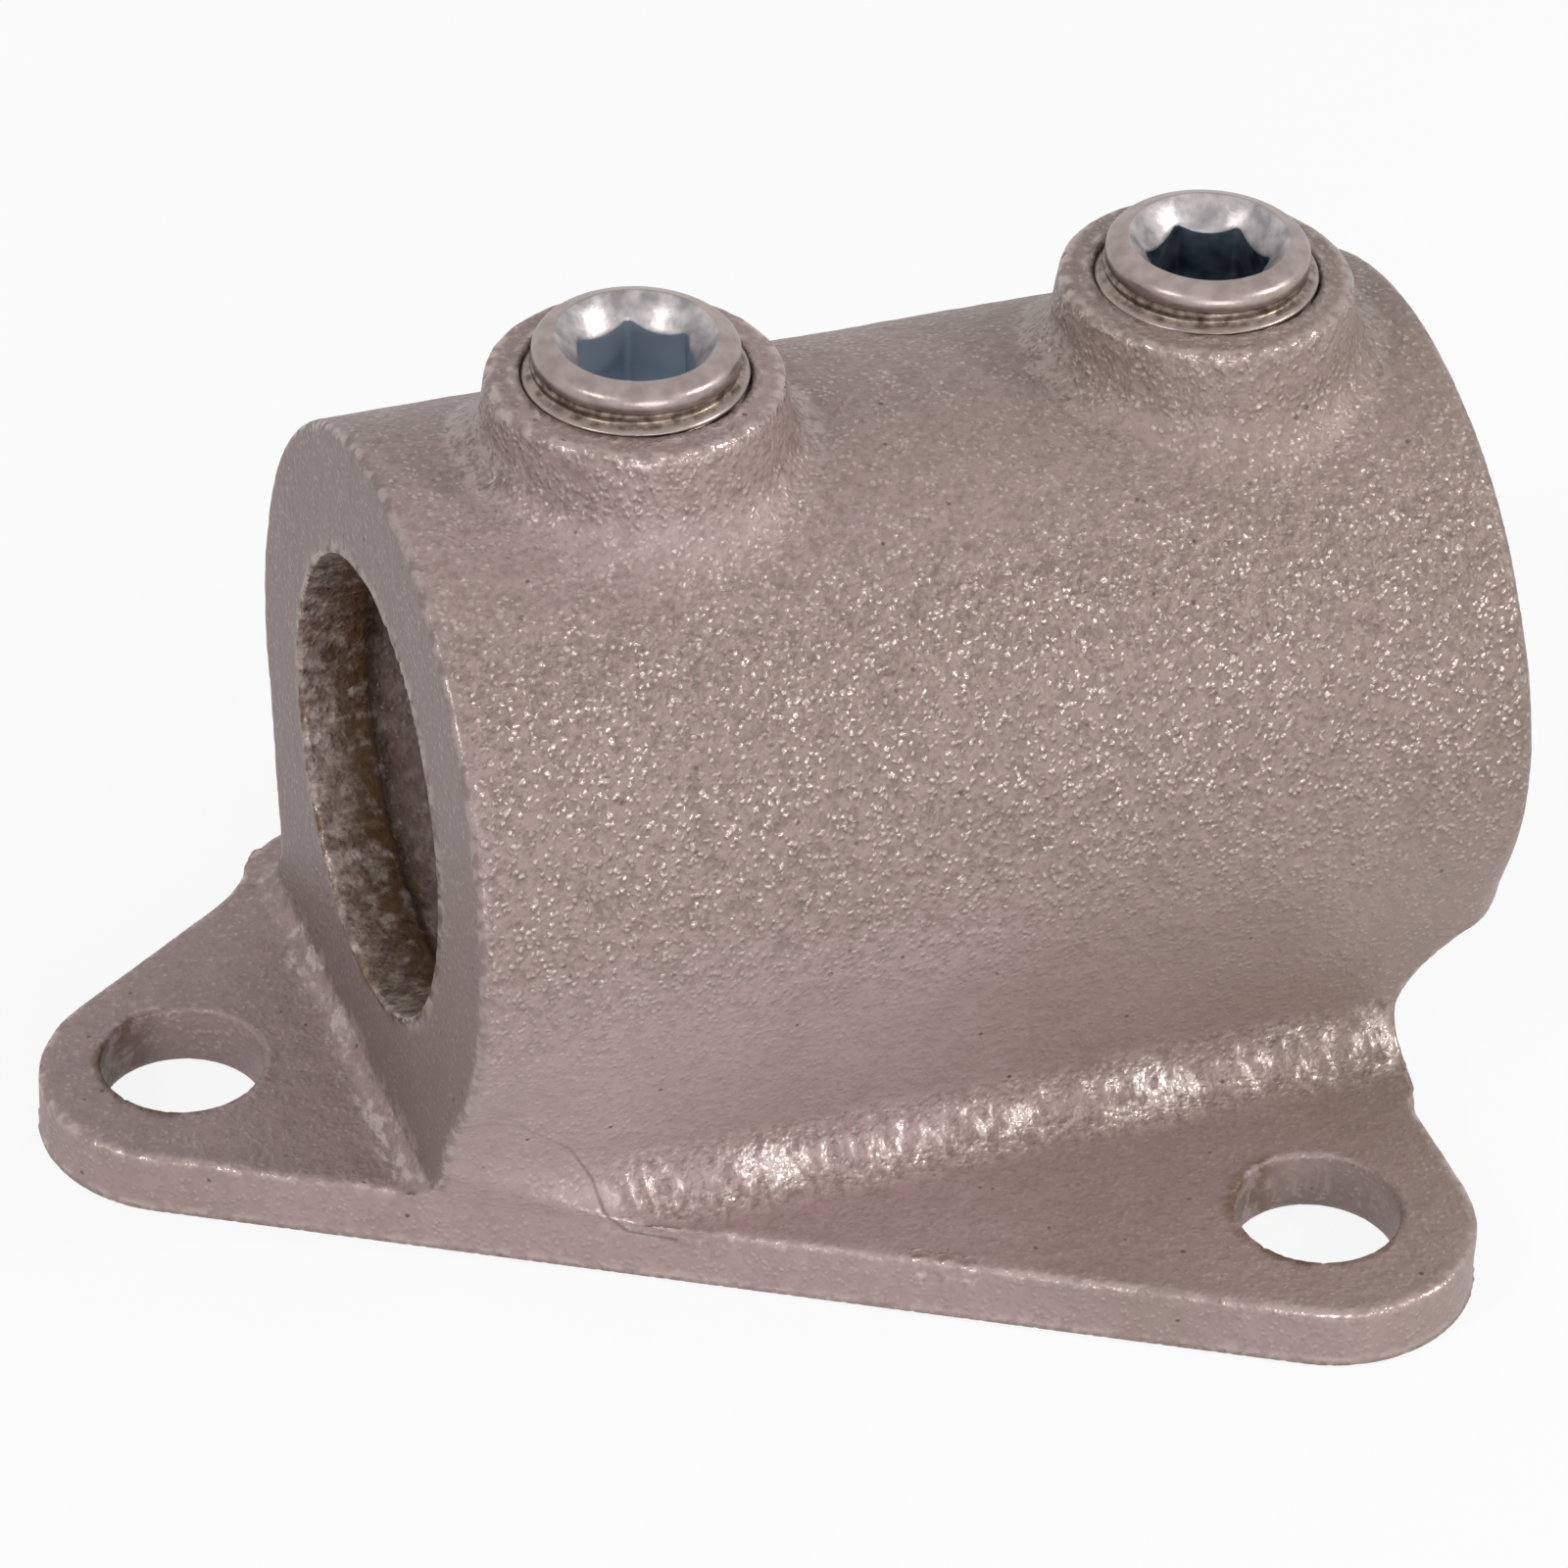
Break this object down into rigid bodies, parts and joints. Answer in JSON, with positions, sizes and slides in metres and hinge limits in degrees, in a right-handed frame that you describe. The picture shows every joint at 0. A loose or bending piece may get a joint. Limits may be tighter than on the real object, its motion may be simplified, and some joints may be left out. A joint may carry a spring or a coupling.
{
  "type": "tube clamp side fixing",
  "caption": "Cast side fixing: a tube slides through its barrel, socket set screws lock it, and a flange with bolt lugs on a diagonal fixes it to a wall or post.",
  "frame": {"origin": "on the mounting face of the flange, under the middle of the barrel", "axes": "+X along the tube towards the end that overhangs the flange, +Z out of the mounting face towards the set screws, +Y towards the straight back edge of the flange"},
  "size_m": [0.107, 0.0801, 0.0664],
  "materials": {
    "casting": "hot-dip galvanised, grainy",
    "screw": "zinc plated"
  },
  "bodies": {
    "casting": {"clamp_body": "casting"},
    "left_screw": {"set_screw_left": "screw"},
    "right_screw": {"set_screw_right": "screw"}
  },
  "joints": [
    {"name": "left_screw_travel", "type": "slide", "parent": "casting", "child": "left_screw", "axis": [0, 0, 1], "range_m": [-0.0052, 0.007]},
    {"name": "right_screw_travel", "type": "slide", "parent": "casting", "child": "right_screw", "axis": [0, 0, 1], "range_m": [-0.0052, 0.007]}
  ]
}
